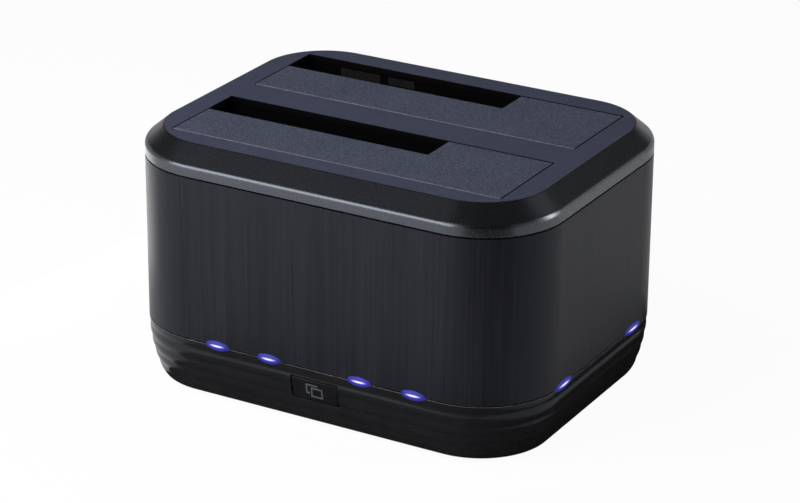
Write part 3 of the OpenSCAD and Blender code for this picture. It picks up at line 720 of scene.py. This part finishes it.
def camera():
    """The photograph's viewpoint, fitted to its outlines."""
    azimuth, elevation, roll = math.radians(29.763), math.radians(22.807), math.radians(0.392)
    look = Vector((
        -math.sin(azimuth) * math.cos(elevation),
        math.cos(azimuth) * math.cos(elevation),
        -math.sin(elevation),
    ))
    data = bpy.data.cameras.new("camera")
    data.lens = 134.86
    data.sensor_width = 36.0
    data.clip_start = 0.01
    data.clip_end = 50
    made = bpy.data.objects.new("camera", data)
    bpy.context.scene.collection.objects.link(made)
    made.rotation_mode = "QUATERNION"
    made.location = Vector((392.17, -685.45, 367.43)) * MM
    made.rotation_quaternion = look.to_track_quat("-Z", "Y") @ Quaternion((0, 0, 1), roll)
    bpy.context.scene.camera = made


def softbox(name, direction, distance, width, height, level, mirrored=True):
    """A rectangular lamp that faces the object; level is its brightness, where one is white."""
    data = bpy.data.lights.new(name, "AREA")
    data.shape = "RECTANGLE"
    data.size = width
    data.size_y = height
    data.energy = level * math.pi * width * height
    made = bpy.data.objects.new(name, data)
    bpy.context.scene.collection.objects.link(made)
    towards = Vector(direction).normalized()
    target = Vector((0, 0, 40 * MM))
    made.location = target + towards * distance
    made.rotation_mode = "QUATERNION"
    made.rotation_quaternion = (-towards).to_track_quat("-Z", "Y")
    made.visible_camera = False
    made.visible_glossy = mirrored


# Height of a card that lies on the floor
CARD_Z = 0.3 * MM


def dark_card(name, corners):
    """A black card between its corners, which shows in reflections only."""
    solid = bmesh.new()
    solid.faces.new([solid.verts.new(corner) for corner in corners])
    mesh = bpy.data.meshes.new(name)
    solid.to_mesh(mesh)
    solid.free()
    black = Finish(name + "_black", Base_Color=(0.02, 0.02, 0.02, 1), Specular_IOR_Level=0.0)
    mesh.materials.append(black.material)
    made = bpy.data.objects.new(name, mesh)
    bpy.context.scene.collection.objects.link(made)
    made.visible_camera = False
    made.visible_diffuse = False
    made.visible_shadow = False


# Light of the studio: at the horizon, overhead, and how high the pale band at the horizon reaches
HORIZON_LEVEL = 0.8
OVERHEAD_LEVEL = 0.05
HORIZON_REACH = 0.3


def world():
    """A studio that is pale at the horizon and dark overhead."""
    made = bpy.data.worlds.new("studio")
    bpy.context.scene.world = made
    made.use_nodes = True
    tree = made.node_tree
    place = tree.nodes.new("ShaderNodeTexCoord")
    parts = tree.nodes.new("ShaderNodeSeparateXYZ")
    ramp = tree.nodes.new("ShaderNodeMapRange")
    ramp.interpolation_type = "SMOOTHSTEP"
    ramp.inputs["From Min"].default_value = 0.0
    ramp.inputs["From Max"].default_value = HORIZON_REACH
    ramp.inputs["To Min"].default_value = HORIZON_LEVEL
    ramp.inputs["To Max"].default_value = OVERHEAD_LEVEL
    tree.links.new(place.outputs["Generated"], parts.inputs["Vector"])
    tree.links.new(parts.outputs["Z"], ramp.inputs["Value"])
    tree.links.new(ramp.outputs["Result"], tree.nodes["Background"].inputs["Strength"])
    tree.nodes["Background"].inputs["Color"].default_value = (1, 1, 1, 1)


# Share of plain white in the floor, as the camera and as shiny surfaces see it;
# the rest shows the light and shadow on it
FLOOR_GLOW_SEEN = 0.95
FLOOR_GLOW_MIRRORED = 0.35


def floor():
    """A plain white floor that keeps the object's shadow."""
    size = 6.0
    solid = bmesh.new()
    bmesh.ops.create_grid(solid, x_segments=1, y_segments=1, size=size)
    mesh = bpy.data.meshes.new("floor")
    solid.to_mesh(mesh)
    solid.free()
    made = bpy.data.objects.new("floor", mesh)
    bpy.context.scene.collection.objects.link(made)
    finish = Finish("floor_white", Base_Color=(0.85, 0.85, 0.85, 1), Roughness=0.9, Specular_IOR_Level=0.0)
    rays = finish.add("ShaderNodeLightPath").outputs
    wanted = {0: rays["Is Camera Ray"], 1: FLOOR_GLOW_SEEN}
    seen = finish.add("ShaderNodeMath", wanted, operation="MULTIPLY").outputs[0]
    for ray in ("Is Glossy Ray", "Is Transmission Ray"):
        wanted = {0: rays[ray], 1: FLOOR_GLOW_MIRRORED, 2: seen}
        seen = finish.add("ShaderNodeMath", wanted, operation="MULTIPLY_ADD").outputs[0]
    white = finish.add("ShaderNodeEmission", {"Color": (1, 1, 1, 1), "Strength": 1.0})
    both = finish.add("ShaderNodeMixShader", {0: seen, 1: finish.shader.outputs[0], 2: white.outputs[0]})
    output = finish.tree.nodes["Material Output"]
    finish.tree.links.new(both.outputs[0], output.inputs["Surface"])
    mesh.materials.append(finish.material)


camera()
world()
floor()
dark_card("standing_card", [
    (0.055, -0.195, 0), (0.185, -0.095, 0), (0.185, -0.095, 0.12), (0.055, -0.195, 0.12),
])
# A black sheet under the object that only reflections show: painted shade of the floor near the object
dark_card("reflected_floor_shade", [
    (-0.055, -0.094, CARD_Z), (0.08, -0.094, CARD_Z), (0.08, 0.09, CARD_Z), (-0.055, 0.0, CARD_Z),
])
softbox("fill", (-0.4, -0.56, 0.73), distance=0.5, width=0.4, height=0.4, level=5.4, mirrored=False)
softbox("strip", (-0.458, -0.888, 0.1), distance=0.6, width=0.5, height=0.2, level=6.5)
softbox("right", (0.865, 0.446, 0.18), distance=0.7, width=0.16, height=0.36, level=11.0)
softbox("back", (0.437, 0.561, 0.704), distance=0.8, width=0.35, height=0.3, level=0.35)
softbox("left", (-0.98, 0.15, -0.175), distance=0.13, width=0.12, height=0.045, level=1.5)
softbox("over", (-0.5, -0.3, 0.81), distance=0.8, width=0.5, height=0.4, level=0.18)

top_cover()
outer_sleeve()
base_housing()
for bay in ("front", "rear"):
    door(bay)
    softened(bay + "_hinge_pin", pin_steel, "pin_steel", 0.2)
    softened(bay + "_drive_guide", guide_black, "guide_black", 0.2)
    softened(bay + "_sata_socket", socket_black, "socket_black", 0.12)
    keep(bay + "_door_spring", spring_steel)
    keep(bay + "_sata_contacts", contact_gold)
bay_pads()
button()
rocker()
chip()
capacitors()
for side, count in (("front", 4), ("side", 2)):
    lens_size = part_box(f"{side}_led_lens_1")[1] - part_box(f"{side}_led_lens_1")[0]
    lens_blue = lamp_lens(f"{side}_lens_blue", max(lens_size.x, lens_size.y), lens_size.z)
    for lamp in range(1, count + 1):
        lens(f"{side}_led_lens_{lamp}", lens_blue)
        softened(f"{side}_led_{lamp}", lamp_white, "lamp_white", 0.12)
softened("usb_port_shell", port_metal, "port_metal", 0.1)
softened("usb_port_tongue", port_blue, "port_blue", 0.15)
softened("power_jack_body", port_black, "port_black", 0.25)
softened("power_jack_pin", port_metal, "port_metal", 0.25)
softened("power_switch_frame", port_black, "port_black", 0.2)
softened("clone_switch_body", switch_black, "switch_black", 0.2)
softened("clone_switch_plunger", plunger_ivory, "plunger_ivory", 0.15, "clone_button")
softened("housing_screws", screw_steel, "screw_steel", 0.2)
keep("main_board", board_green)
for end in ("front", "rear"):
    for side in ("left", "right"):
        keep(f"{end}_{side}_foot", foot_rubber)

bpy.context.scene.view_settings.view_transform = "Standard"
bpy.context.view_layer.update()
